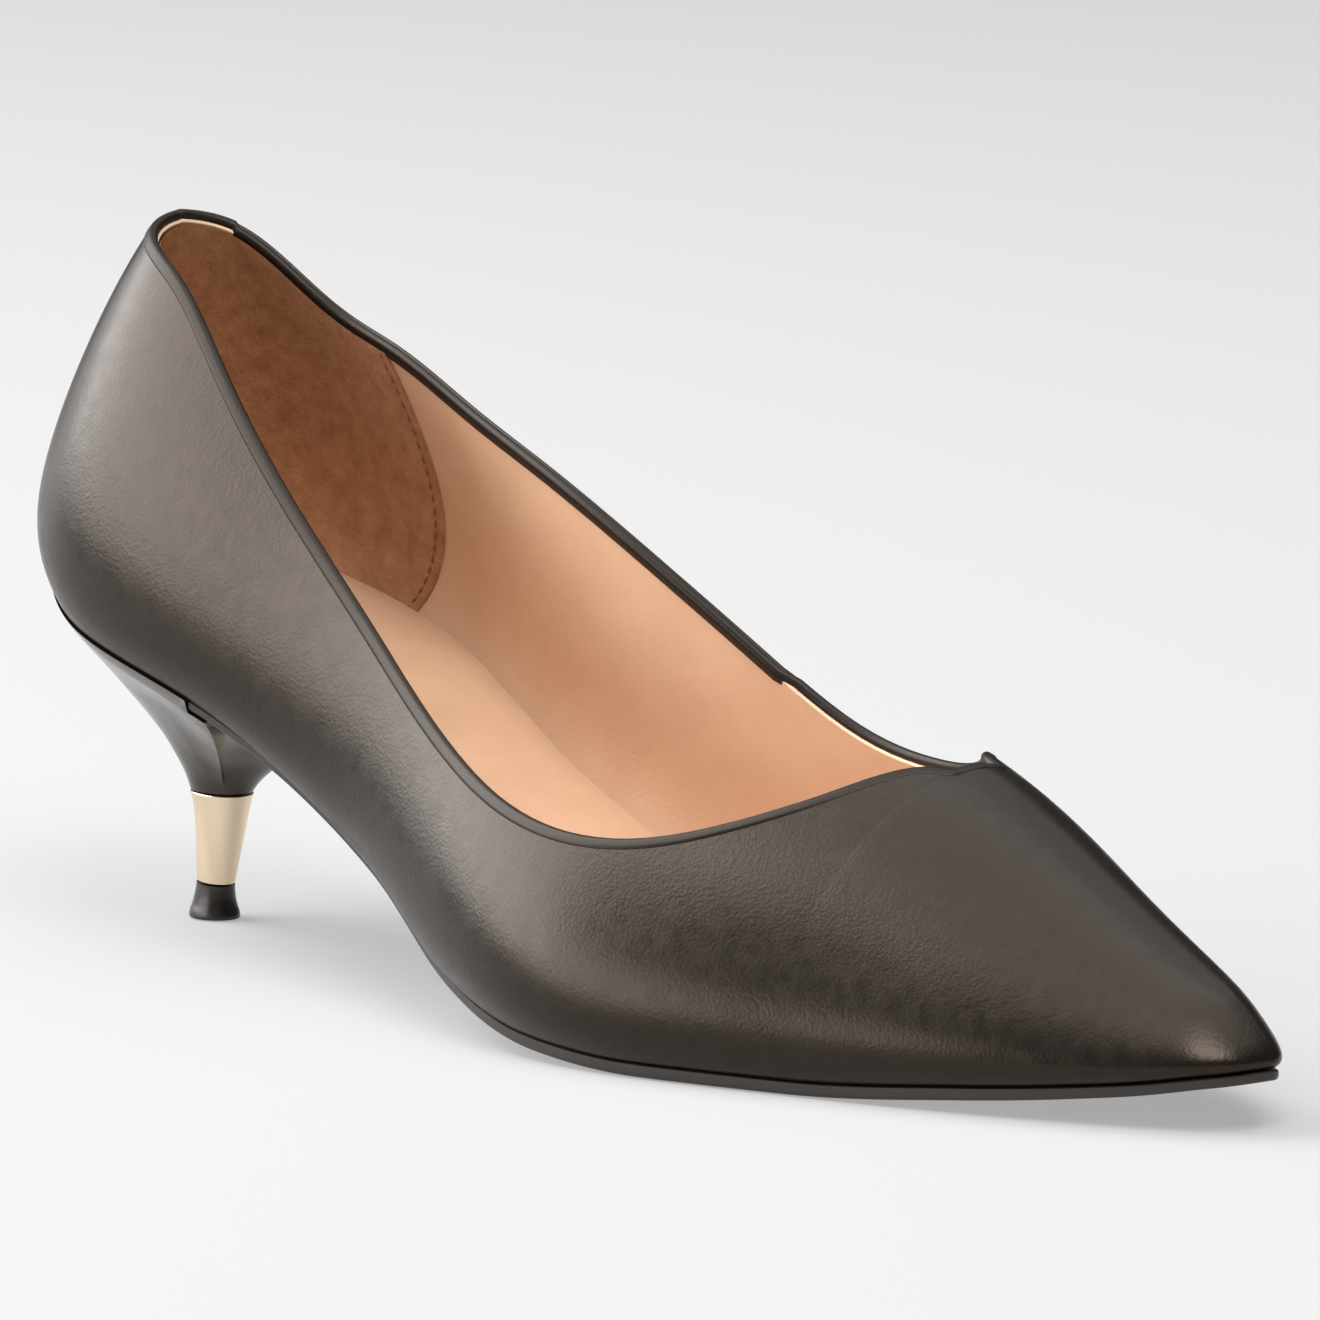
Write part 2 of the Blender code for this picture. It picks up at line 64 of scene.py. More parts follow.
# The last. along is a share of LENGTH, outer and inner (half widths) of BALL_WIDTH, feather and ridge
# (heights) of HEEL_RISE. fullness is the power of the section's superellipse, and swell, of BALL_WIDTH, is
# how far the wall bellies out over the feather line.
LAST_COLUMNS = ("along", "outer", "inner", "feather", "ridge", "fullness", "swell")
LAST_ROWS = (
    (0.000, 0.000, 0.000, 1.000, 2.323, 1.72, 0.061),
    (0.025, 0.212, 0.214, 0.986, 2.221, 1.78, 0.058),
    (0.095, 0.352, 0.352, 0.873, 2.069, 1.86, 0.054),
    (0.205, 0.365, 0.372, 0.735, 1.895, 1.86, 0.056),
    (0.375, 0.382, 0.300, 0.388, 1.630, 1.88, 0.058),
    (0.480, 0.488, 0.352, 0.168, 1.386, 1.90, 0.058),
    (0.580, 0.555, 0.440, 0.070, 1.121, 1.92, 0.056),
    (0.660, 0.515, 0.480, 0.044, 0.966, 1.89, 0.050),
    (0.750, 0.408, 0.474, 0.044, 0.820, 1.88, 0.043),
    (0.855, 0.270, 0.355, 0.077, 0.594, 1.92, 0.036),
    (0.945, 0.120, 0.248, 0.122, 0.413, 2.00, 0.028),
    (0.988, 0.015, 0.157, 0.156, 0.356, 2.10, 0.022),
    (1.000, -0.104, 0.104, 0.166, 0.343, 2.10, 0.020),
)
SWELL_PEAK = 0.25  # share of the section's height where it bellies out most
CONE_LEAN = 0.0369  # how far the cone's top leans forward at the back
CONE_FADE = 0.032
TOE_LEAN = 0.0075  # how far the ridge ends behind the tip
TOE_FADE = 0.012
TOE_CURVE = 1.6  # the power of the curve that rises to it
RIDGE_INWARD = 0.0055  # the ridge's shift to the inner side

# The topline. along is a share of LENGTH, outer and inner (heights) of BACK_TOP
TOPLINE_COLUMNS = ("along", "outer", "inner")
TOPLINE_ROWS = (
    (0.050, 0.990, 0.990),
    (0.080, 0.958, 0.958),
    (0.127, 0.910, 0.869),
    (0.190, 0.796, 0.812),
    (0.260, 0.662, 0.750),
    (0.345, 0.522, 0.681),
    (0.435, 0.403, 0.580),
    (0.500, 0.343, 0.488),
    (0.570, 0.305, 0.390),
    (0.640, 0.308, 0.361),
    (0.690, 0.347, 0.377),
    (0.716, 0.380, 0.401),
    (0.735, 0.4045, 0.4085),
)
BACK_SEAM = 0.026
FRONT_SEAM = 0.522

# The sole. along is a share of LENGTH, inset (from the feather line) of BALL_WIDTH, thick of SOLE
SOLE_COLUMNS = ("along", "inset", "thick")
SOLE_ROWS = (
    (0.190, 0.004, 0.80),
    (0.300, 0.012, 0.75),
    (0.420, 0.010, 0.85),
    (0.560, 0.004, 1.00),
    (0.800, 0.004, 1.00),
    (0.930, 0.002, 0.90),
    (1.000, -0.008, 0.75),
)
SOLE_BEVEL = 0.0007

# The heel block. rise is a share of its height. back and front say how far it has spread by then
HEEL_COLUMNS = ("rise", "back", "front")
HEEL_ROWS = (
    (0.00, 0.00, 0.00),
    (0.08, 0.04, 0.035),
    (0.19, 0.12, 0.10),
    (0.31, 0.22, 0.18),
    (0.42, 0.33, 0.27),
    (0.54, 0.46, 0.37),
    (0.65, 0.585, 0.48),
    (0.77, 0.725, 0.62),
    (0.88, 0.86, 0.78),
    (1.00, 1.00, 1.00),
)
SEAT_OUTSET = 0.0003
BREAST_X = 0.0545
SOLE_END_X = 0.051
NOTCH = 0.00006  # the length of the step before the sole's end
STEM_X = 0.0255
STEM_LEAN = 0.0018  # how far ahead of the lift the collar's top stands
STEM_TILT = 0.09  # slope of the collar's end faces
STEM_RADIUS = 0.0051  # half length of the oval at the collar's top
COLLAR_RADIUS = 0.0031  # at its foot
COLLAR_FLARE = 0.2  # the share of its widening that comes right at its top
LIFT_RADIUS = 0.00415  # at the floor
STEM_OVAL = 0.88  # the oval's width as a share of its length
CORE = 0.72  # the stem inside the collar, as a share of the collar

# The lift, from its top down. drop is a share of its height, spread of its flare
LIFT_COLUMNS = ("drop", "spread")
LIFT_ROWS = (
    (0.00, 0.00),
    (0.30, 0.17),
    (0.60, 0.52),
    (0.85, 0.93),
    (0.94, 1.00),
    (1.00, 0.84),
)

# Leather work, and the small edges of the other pieces
THROAT_RUN = 0.08  # in stations: the stretch before the throat with closer sections
SEAM_RUN = 0.0022  # in stations: the stretch in which the wall steps down at a seam
TUCK = 1.2 * WALL  # how far the leather turns in under the feather line
FOLD = 0.0007  # radius of the folded topline edge
FOLD_DEPTH = 0.0030  # how far the fold's inner side goes down
BAND = 0.0013  # the strip folded over the topline: how far it comes down each side
BAND_LIFT = 0.00012  # how far the strip stands over the leather
LINING = 0.0006
LINING_DROP = 0.0011  # the lining's raw edge under the topline
LINING_BEAD = 0.00015  # how far that edge stands out
LINING_LIP = 0.0010  # how far the edge's hidden side goes down
TIP_ROOM = 0.010  # the wall thins in the last of the toe
THINNEST = 0.15  # its share of the wall that is left at the tip
SOCK_GAP = 0.0009
SOCK_THICK = 0.0012
SOCK_ROUND = 0.0005
SOLE_RIM = 0.0012  # the sole's top face starts this far inside its edge
SOLE_RIM_ROUND = 0.0003
SOLE_RIM_DROP = 0.0002
SOLE_RIM_LEAST = 0.0018  # height over the floor that the rim keeps
COLLAR_ROLL = 0.0002  # radius of the metal sleeve's edges
SIDES = ("outer", "inner")

# The gap between sock and lining. along is in stations, gap a share of SOCK_GAP
GAP_COLUMNS = ("along", "gap")
GAP_ROWS = ((0.0, 0.4), (0.25, 0.8), (0.6, 1.5), (1.0, 0.8))

# The suede heel grip. rise is a share from the sock to the topline, ahead is how far its front edge reaches
GRIP_COLUMNS = ("rise", "ahead")
GRIP_ROWS = ((0.0, 0.040), (0.25, 0.046), (0.5, 0.049), (0.75, 0.047), (1.0, 0.043))
GRIP = 0.0004  # how far the grip stands over the lining
GRIP_FOOT = 0.045  # where the grip starts, as a share of the wall's angle
GRIP_EDGE = 0.00018  # how far the cut front edge slants
STITCHES = 22
STITCH_BEHIND = 0.0016
STITCH_RADIUS = 0.00022
STITCH_SUNK = 0.00005  # how deep a stitch's ends lie in the suede
STITCH_RISE = 0.00012

# The camera, fitted to the photograph. The focal length is in pixels of its 1320-pixel frame
VIEW_AZIMUTH = 50.0
VIEW_ELEVATION = 9.0
VIEW_ROLL = 0.2
VIEW_DISTANCE = 2.264
VIEW_FOCAL = 15733.0
FRAME_PIXELS = 1320.0
SENSOR = 36.0
TARGET = (0.12877 - STEM_X, 0.0, 0.05155)

# The studio. A light's azimuth and elevation are where it stands, seen from LIT, in the camera's terms
FLOOR_SHADE = 0.24
FLOOR_GLOW = 0.38
FLOOR_DROP = 0.0002  # how far the floor lies under the shoe
WORLD_GLOW = 0.06
LIT = (0.09, 0, 0.03)
LIGHT_COLUMNS = ("name", "azimuth", "elevation", "distance", "width", "height", "power")
LIGHT_ROWS = (
    ("top", 20, 88, 1.8, 2.2, 2.2, 28),
    ("left", -60, 35, 1.6, 1.5, 1.6, 52),
    ("side", -88, 12, 1.6, 0.7, 0.7, 2),
    ("low", -20, 13, 1.5, 0.9, 0.6, 8),
    ("front", 62, 54, 1.7, 0.9, 0.9, 20),
    ("back", 200, 50, 1.8, 1.4, 0.9, 3),
)


def column(rows, columns, name):
    return np.array([row[columns.index(name)] for row in rows])


def station_of(x):
    """The station, 0 at the back and 1 at the tip, that lies at x. Equal steps of it crowd at the round ends."""
    return np.arccos(1 - 2 * np.clip(np.asarray(x) / LENGTH, 0, 1)) / math.pi


def smooth(at, knots, values):
    """A natural cubic spline through the knots."""
    gap = np.diff(knots)
    slope = np.diff(values) / gap
    count = len(knots)
    matrix = np.eye(count)
    right = np.zeros(count)
    for i in range(1, count - 1):
        matrix[i, i - 1 : i + 2] = gap[i - 1], 2 * (gap[i - 1] + gap[i]), gap[i]
        right[i] = 6 * (slope[i] - slope[i - 1])
    bend = np.linalg.solve(matrix, right)
    at = np.clip(at, knots[0], knots[-1])
    i = np.clip(np.searchsorted(knots, at, side="right") - 1, 0, count - 2)
    left, rest = at - knots[i], knots[i + 1] - at
    cubic = (bend[i] * rest**3 + bend[i + 1] * left**3) / (6 * gap[i])
    first = (values[i] / gap[i] - bend[i] * gap[i] / 6) * rest
    return cubic + first + (values[i + 1] / gap[i] - bend[i + 1] * gap[i] / 6) * left


def level(at, knots, values):
    """A curve through the knots that never overshoots them, level at its ends and between equal ones."""
    gap = np.diff(knots)
    slope = np.diff(values) / gap
    tangent = np.zeros(len(knots))
    for i in range(1, len(knots) - 1):
        if slope[i - 1] * slope[i] > 0:
            before, after = gap[i] * 2 + gap[i - 1], gap[i] + gap[i - 1] * 2
            tangent[i] = (before + after) / (before / slope[i - 1] + after / slope[i])
    at = np.clip(at, knots[0], knots[-1])
    i = np.clip(np.searchsorted(knots, at, side="right") - 1, 0, len(knots) - 2)
    t = (at - knots[i]) / gap[i]
    ends = values[i] * (1 + 2 * t) * (1 - t) ** 2 + values[i + 1] * t**2 * (3 - 2 * t)
    return ends + gap[i] * (tangent[i] * t * (1 - t) ** 2 + tangent[i + 1] * t**2 * (t - 1))


LAST_STATIONS = station_of(column(LAST_ROWS, LAST_COLUMNS, "along") * LENGTH)


def last_column(name, stations, curve=smooth):
    return curve(stations, LAST_STATIONS, column(LAST_ROWS, LAST_COLUMNS, name))


def ridge_height(stations):
    """The ridge's height. Its knots are mirrored past the tip, so that it ends there level in stations."""
    knots = np.append(LAST_STATIONS, 2 - LAST_STATIONS[-2])
    values = column(LAST_ROWS, LAST_COLUMNS, "ridge")
    return HEEL_RISE * smooth(stations, knots, np.append(values, values[-2]))


def feather_line(side, stations):
    """Points of the feather line on one side, and the directions that point out of it."""
    sign = -1 if side == "outer" else 1
    x = LENGTH * (1 - np.cos(math.pi * stations)) / 2
    y = sign * BALL_WIDTH * last_column(side, stations)
    z = HEEL_RISE * last_column("feather", stations, level)
    step = 1e-4
    after, before = np.clip(stations + step, 0, 1), np.clip(stations - step, 0, 1)
    run = LENGTH * (np.cos(math.pi * before) - np.cos(math.pi * after)) / 2
    rise = BALL_WIDTH * (last_column(side, after) - last_column(side, before))
    out = np.stack([-rise, sign * run, 0 * x], -1) / np.hypot(run, rise)[:, None]
    out[stations <= 0] = (-1, 0, 0)
    out[stations >= 1] = (1, 0, 0)
    return np.stack([x, y, z], -1), out


def toe_lean(x):
    return TOE_LEAN * np.exp((x - LENGTH) / TOE_FADE)


def ridge_line(stations):
    """The line where the two sides meet over the toe, and the cone's middle line behind the throat."""
    x = LENGTH * (1 - np.cos(math.pi * stations)) / 2
    x_ridge = x + CONE_LEAN * np.exp(-x / CONE_FADE) - toe_lean(x)
    share = np.clip(x_ridge / (LENGTH - TOE_LEAN), 0, 1)
    tip = BALL_WIDTH * LAST_ROWS[-1][LAST_COLUMNS.index("inner")]
    y = tip * share**2 + RIDGE_INWARD * np.sin(math.pi * share**1.5)
    return np.stack([x_ridge, y, ridge_height(stations)], -1)


def last_skin(side, stations, angle):
    """The last's surface, from the feather line (angle 0) to the ridge (a right angle)."""
    foot, out = feather_line(side, stations)
    top = ridge_line(stations)
    power = 2 / last_column("fullness", stations)[:, None]
    up = np.sin(angle) ** power
    over = 1 - np.clip(np.cos(angle), 0, 1) ** power
    swell = BALL_WIDTH * last_column("swell", stations)[:, None]
    belly = swell * (up / SWELL_PEAK) * np.exp(1 - up / SWELL_PEAK) * (1 - up)
    points = foot[:, None] + belly[..., None] * out[:, None]
    points[..., :2] += (top - foot)[:, None, :2] * over[..., None]
    points[..., 0] += toe_lean(foot[:, 0])[:, None] * (over - up**TOE_CURVE)
    points[..., 2] += (top - foot)[:, None, 2] * up
    return points


def throat_station(drop=0.0):
    stations = np.linspace(0.5, 0.9, 400)
    return float(np.interp(THROAT_X + drop, ridge_line(stations)[:, 0], stations))


def topline_height(side, x, drop):
    """The topline seen from the side, or a line lower by the drop. Past the throat it runs on, over the ridge."""
    throat = ridge_line(np.array([throat_station()]))[0]
    along = np.append(column(TOPLINE_ROWS, TOPLINE_COLUMNS, "along") * LENGTH, throat[0])
    heights = np.append(column(TOPLINE_ROWS, TOPLINE_COLUMNS, side) * BACK_TOP, throat[2])
    slope = (heights[-1] - heights[-2]) / (along[-1] - along[-2])
    return smooth(np.clip(x, None, throat[0]), along, heights) + slope * np.clip(x - throat[0], 0, None) - drop


def topline_angle(side, stations, drop):
    """The angle at which each section reaches the topline, or a right angle past the throat."""
    angle = np.linspace(0, math.pi / 2, 361)
    points = last_skin(side, stations, np.broadcast_to(angle, (len(stations), len(angle))))
    above = points[..., 2] - topline_height(side, points[..., 0], drop)
    top = np.full(len(stations), math.pi / 2)
    for i in np.flatnonzero(stations < throat_station(drop) - 1e-9):
        crossing = int(np.argmax(above[i] > 0))
        if crossing:
            low, high = above[i, crossing - 1], above[i, crossing]
            top[i] = angle[crossing - 1] + (angle[1] - angle[0]) * low / (low - high)
    return top


def skin_normals(side, stations, angle):
    """Directions out of the last's surface."""
    step = 1e-3
    up = last_skin(side, stations, np.clip(angle + step, 0, math.pi / 2))
    up -= last_skin(side, stations, np.clip(angle - step, 0, math.pi / 2))
    ahead = last_skin(side, np.clip(stations + step, 0, 1), angle)
    ahead -= last_skin(side, np.clip(stations - step, 0, 1), angle)
    normal = np.cross(ahead, up) if side == "outer" else np.cross(up, ahead)
    return normal / np.linalg.norm(normal, axis=-1)[..., None]


def both_sides(stations, angles):
    """Points and normals of both sides, with shared normals where they meet: at the back, the ridge and the tip."""
    points = {side: last_skin(side, stations, angles[side]) for side in SIDES}
    normals = {side: skin_normals(side, stations, angles[side]) for side in SIDES}
    ridge = np.isclose(angles["outer"][:, -1], math.pi / 2) & np.isclose(angles["inner"][:, -1], math.pi / 2)
    mean = normals["outer"] + normals["inner"]
    mean[0, :, 1] = 0
    mean /= np.linalg.norm(mean, axis=-1)[..., None]
    for side in SIDES:
        normals[side][[0, -1]] = mean[[0, -1]]
        normals[side][ridge, -1] = mean[ridge, -1]
    return points, normals


def upper_stations(throat, behind, turn, ahead):
    """Stations from back to tip, closer just before the throat, where the topline turns."""
    near = throat - THROAT_RUN * np.linspace(1, 0, turn)[1:] ** 1.7
    return np.concatenate([np.linspace(0, throat - THROAT_RUN, behind), near, np.linspace(throat, 1, ahead)[1:]])


def add_grid(bm, points, flip=False, closed=False):
    """A grid of points as a patch of faces. closed joins its last row to its first."""
    rows, columns = points.shape[:2]
    verts = [bm.verts.new(point) for point in points.reshape(-1, 3)]
    for i in range(rows if closed else rows - 1):
        after = (i + 1) % rows
        for j in range(columns - 1):
            corners = [
                verts[i * columns + j],
                verts[after * columns + j],
                verts[after * columns + j + 1],
                verts[i * columns + j + 1],
            ]
            bm.faces.new(corners[::-1] if flip else corners)


def new_piece(name, bm, material, replaces=(), sharp=None, weld=1e-6):
    """A finished mesh as a piece of the shoe, in the CAD's frame."""
    bmesh.ops.remove_doubles(bm, verts=bm.verts, dist=weld)
    flat = [face for face in bm.faces if face.calc_area() < 1e-13]
    bmesh.ops.delete(bm, geom=flat, context="FACES_ONLY")
    loose = [vert for vert in bm.verts if not vert.link_faces]
    bmesh.ops.delete(bm, geom=loose, context="VERTS")
    bmesh.ops.translate(bm, verts=bm.verts, vec=(-STEM_X, 0, 0))
    mesh = bpy.data.meshes.new(name)
    bm.to_mesh(mesh)
    bm.free()
    mesh.shade_smooth()
    if sharp:
        mesh.set_sharp_from_angle(angle=math.radians(sharp))
    mesh.materials.append(material)
    piece = bpy.data.objects.new(name, mesh)
    bpy.context.scene.collection.objects.link(piece)
    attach(piece, "root")
    if replaces:
        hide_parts(*replaces)


class Shader:
    """A material's node tree, with short calls for the nodes that the finishes share."""

    def __init__(self, name, color, roughness, specular=0.5, metallic=0.0):
        self.material = bpy.data.materials.new(name)
        self.material.use_nodes = True
        self.tree = self.material.node_tree
        self.surface = self.tree.nodes["Principled BSDF"]
        self.surface.inputs["Base Color"].default_value = (*color, 1)
        self.surface.inputs["Roughness"].default_value = roughness
        self.surface.inputs["Specular IOR Level"].default_value = specular
        self.surface.inputs["Metallic"].default_value = metallic
        self.place = self.tree.nodes.new("ShaderNodeTexCoord").outputs["Object"]

    def node(self, kind, **inputs):
        made = self.tree.nodes.new(kind)
        for key, value in inputs.items():
            socket = made.inputs[key.replace("_", " ").title()]
            if isinstance(value, bpy.types.NodeSocket):
                self.tree.links.new(value, socket)
            else:
                socket.default_value = value
        return made

    def noise(self, scale, detail=2.0, roughness=0.5, stretch=None):
        place = self.place
        if stretch:
            place = self.node("ShaderNodeMapping", vector=place, scale=stretch).outputs["Vector"]
        return self.node(
            "ShaderNodeTexNoise", vector=place, scale=scale, detail=detail, roughness=roughness
        ).outputs["Fac"]

    def cells(self, scale, smoothness=0.6):
        made = self.node("ShaderNodeTexVoronoi", vector=self.place, scale=scale)
        made.feature = "SMOOTH_F1"
        made.inputs["Smoothness"].default_value = smoothness
        return made.outputs["Distance"]

    def ramp(self, value, low, high, start, end):
        """The value's range from start to end as a range from low to high."""
        made = self.node("ShaderNodeMapRange", value=value)
        made.inputs["From Min"].default_value = start
        made.inputs["From Max"].default_value = end
        made.inputs["To Min"].default_value = low
        made.inputs["To Max"].default_value = high
        return made.outputs["Result"]

    def tint(self, value, low, high, start=0.35, end=0.65):
        """Base colour between two colours."""
        made = self.node("ShaderNodeMix")
        made.data_type = "RGBA"
        self.tree.links.new(self.ramp(value, 0, 1, start, end), made.inputs["Factor"])
        color = next(socket for socket in made.outputs if socket.type == "RGBA")
        a, b = [socket for socket in made.inputs if socket.type == "RGBA"]
        a.default_value = (*low, 1)
        b.default_value = (*high, 1)
        self.tree.links.new(color, self.surface.inputs["Base Color"])

    def gloss(self, value, low, high, start=0.35, end=0.65):
        """Roughness between two values."""
        self.tree.links.new(self.ramp(value, low, high, start, end), self.surface.inputs["Roughness"])

    def bump(self, value, distance, strength=1.0):
        made = self.node("ShaderNodeBump", height=value, distance=distance, strength=strength)
        before = self.surface.inputs["Normal"]
        if before.is_linked:
            self.tree.links.new(before.links[0].from_socket, made.inputs["Normal"])
        self.tree.links.new(made.outputs["Normal"], before)


def black_leather():
    shader = Shader("black_calf", (0.008, 0.0062, 0.0050), 0.31, specular=0.35)
    shader.surface.inputs["Specular Tint"].default_value = (1.0, 0.80, 0.66, 1)
    shader.tint(shader.noise(500, 3), (0.0075, 0.0056, 0.0044), (0.0100, 0.0076, 0.0060))
    shader.gloss(shader.noise(350, 4), 0.28, 0.34)
    shader.bump(shader.cells(1900), 0.00005, 0.4)
    shader.bump(shader.noise(900, 4), 0.00006, 0.3)
    return shader.material


def edge_leather():
    shader = Shader("folded_calf", (0.009, 0.007, 0.0056), 0.42, specular=0.28)
    shader.surface.inputs["Specular Tint"].default_value = (1.0, 0.84, 0.72, 1)
    shader.bump(shader.noise(1100, 4), 0.00006, 0.5)
    return shader.material


def tan_leather():
    shader = Shader("tan_lining", (0.68, 0.38, 0.21), 0.50, specular=0.4)
    shader.tint(shader.noise(45, 4, 0.6), (0.67, 0.42, 0.265), (0.74, 0.48, 0.315))
    shader.gloss(shader.noise(400, 3), 0.44, 0.56)
    shader.bump(shader.cells(2100), 0.00005, 0.4)
    shader.bump(shader.noise(260, 4), 0.00012, 0.3)
    return shader.material


def raw_edge():
    shader = Shader("raw_edge", (0.80, 0.56, 0.37), 0.8)
    shader.bump(shader.noise(2500, 3), 0.0001, 0.6)
    return shader.material


def sock_leather():
    shader = Shader("tan_sock", (0.68, 0.38, 0.20), 0.52, specular=0.4)
    shader.tint(shader.noise(60, 4, 0.6), (0.57, 0.36, 0.225), (0.63, 0.41, 0.265))
    shader.gloss(shader.noise(420, 3), 0.46, 0.58)
    shader.bump(shader.cells(2000), 0.00005, 0.4)
    shader.bump(shader.noise(300, 4), 0.0001, 0.3)
    return shader.material


def suede():
    shader = Shader("suede_grip", (0.46, 0.22, 0.105), 0.95, specular=0.15)
    shader.surface.inputs["Sheen Weight"].default_value = 0.25
    shader.surface.inputs["Sheen Roughness"].default_value = 0.5
    shader.surface.inputs["Sheen Tint"].default_value = (0.9, 0.6, 0.4, 1)
    shader.tint(shader.noise(330, 5, 0.65), (0.36, 0.170, 0.080), (0.54, 0.285, 0.150), 0.3, 0.7)
    shader.bump(shader.noise(1300, 5, 0.7), 0.0004, 0.7)
    return shader.material


# Near-black board seen in the gap beside the sock: partly a dark board, partly painted shade that stands for the
# gap's shadow.
def dark_board_and_gap_shade():
    shader = Shader("dark_board_and_gap_shade", (0.014, 0.009, 0.006), 0.85)
    shader.bump(shader.noise(1500, 3), 0.0001, 0.5)
    return shader.material


def thread():
    shader = Shader("thread", (0.30, 0.13, 0.055), 0.7)
    shader.bump(shader.noise(5000, 2, stretch=(1, 1, 0.3)), 0.00005, 0.6)
    return shader.material


def sole_finish():
    shader = Shader("sole_edge", (0.026, 0.019, 0.015), 0.42)
    shader.gloss(shader.noise(300, 3), 0.36, 0.5)
    shader.bump(shader.noise(700, 4, stretch=(1, 1, 4)), 0.00008, 0.35)
    return shader.material


def heel_gloss():
    shader = Shader("heel_gloss", (0.016, 0.012, 0.0095), 0.16, specular=0.6)
    shader.surface.inputs["Specular Tint"].default_value = (1.0, 0.84, 0.72, 1)
    shader.gloss(shader.noise(120, 2), 0.13, 0.2)
    shader.bump(shader.noise(160, 2), 0.00006, 0.15)
    return shader.material


def gold():
    shader = Shader("pale_gold", (0.83, 0.66, 0.47), 0.22, metallic=1.0)
    streaks = shader.noise(260, 0, stretch=(1, 1, 0.02))
    shader.tint(streaks, (0.79, 0.61, 0.42), (0.87, 0.71, 0.52))
    shader.gloss(streaks, 0.20, 0.30)
    return shader.material


def lift_plastic():
    shader = Shader("lift_plastic", (0.020, 0.015, 0.012), 0.33)
    shader.gloss(shader.noise(900, 3), 0.28, 0.42)
    shader.bump(shader.noise(1500, 3), 0.00003, 0.3)
    return shader.material


def topline_loop(points, normals, throat_index):
    """The top row of both sides as one closed loop, with directions out of the wall and up over its edge."""
    rows = slice(0, throat_index + 1)
    loop = np.concatenate([points["outer"][rows, -1], points["inner"][rows, -1][-2:0:-1]])
    out = np.concatenate([normals["outer"][rows, -1], normals["inner"][rows, -1][-2:0:-1]])
    along = np.roll(loop, -1, axis=0) - np.roll(loop, 1, axis=0)
    along -= (along * out).sum(-1)[:, None] * out
    along /= np.linalg.norm(along, axis=-1)[:, None]
    return loop, out, np.cross(out, along)


def upper_leather(material, band_material):
    """The outer leather: both sides, a small turn under the feather line and the fold over the topline."""
    behind, near = 90, 34
    stations = upper_stations(throat_station(FOLD), behind, near, 50)
    throat_index = behind + near - 2
    shares = np.linspace(0, 1, 41) ** 1.15
    angles = {side: topline_angle(side, stations, FOLD)[:, None] * shares for side in SIDES}
    angles["inner"][0] = angles["outer"][0]
    points, normals = both_sides(stations, angles)
    loop, out, over = topline_loop(points, normals, throat_index)
    quarter = station_of([BACK_SEAM * LENGTH, FRONT_SEAM * LENGTH])
    low = np.clip((stations - quarter[0]) / SEAM_RUN + 1, 0, 1)
    low *= np.clip((quarter[1] - stations) / SEAM_RUN + 1, 0, 1)
    bm = bmesh.new()
    for side in SIDES:
        grid = points[side].copy()
        if side == "inner":
            grid -= normals[side] * (LAP * low)[:, None, None]
        add_grid(bm, grid, flip=side == "inner")
        foot, feather_out = feather_line(side, stations)
        tuck = np.stack([grid[:, 0], foot - feather_out * TUCK], axis=1)
        add_grid(bm, tuck, flip=side == "outer")
    count = throat_index + 1
    sunk = out * (np.concatenate([0 * low[:count], low[:count][-2:0:-1]]) * LAP)[:, None]
    turn = np.linspace(0, math.pi, 9)
    profile = [(FOLD * math.sin(t), FOLD * (math.cos(t) - 1)) for t in turn]
    profile.append((-FOLD_DEPTH, -2 * FOLD))
    fold = np.stack([loop + over * u + out * n for u, n in profile], axis=1)
    fold[:, :4] -= sunk[:, None] * np.array([1, 0.8, 0.5, 0.2])[None, :, None]
    add_grid(bm, fold, closed=True)
    new_piece("upper_leather", bm, material, ("upper",))
    topline_band(loop - sunk, out, over, band_material)


def topline_band(loop, out, over, material):
    """A narrow strip of thin calf, folded over the topline from the outside to the lining."""
    rim = FOLD + BAND_LIFT
    profile = [(-BAND, -BAND_LIFT), (-0.85 * BAND, BAND_LIFT), (-0.5 * BAND, 1.4 * BAND_LIFT)]
    profile += [(rim * math.sin(turn), rim * math.cos(turn) - FOLD) for turn in np.linspace(0, math.pi, 11)]
    profile += [(-0.8 * BAND, -2 * FOLD - 1.4 * BAND_LIFT), (-BAND, -2 * FOLD + BAND_LIFT)]
    bm = bmesh.new()
    add_grid(bm, np.stack([loop + over * u + out * n for u, n in profile], axis=1), closed=True)
    new_piece("topline_band", bm, material, ("upper",))


def lining_grid(stations, shares, drop, depth):
    """Both sides of a layer inside the wall: points at a depth under the outside, and the normals there."""
    angles = {side: topline_angle(side, stations, drop)[:, None] * shares for side in SIDES}
    angles["inner"][0] = angles["outer"][0]
    points, normals = both_sides(stations, angles)
    furthest = np.maximum(points["outer"][..., 0], points["inner"][..., 0])
    thin = np.clip((LENGTH - furthest) / TIP_ROOM, THINNEST, 1)
    for side in SIDES:
        points[side] = points[side] - normals[side] * (depth * thin)[..., None]
    return points, normals


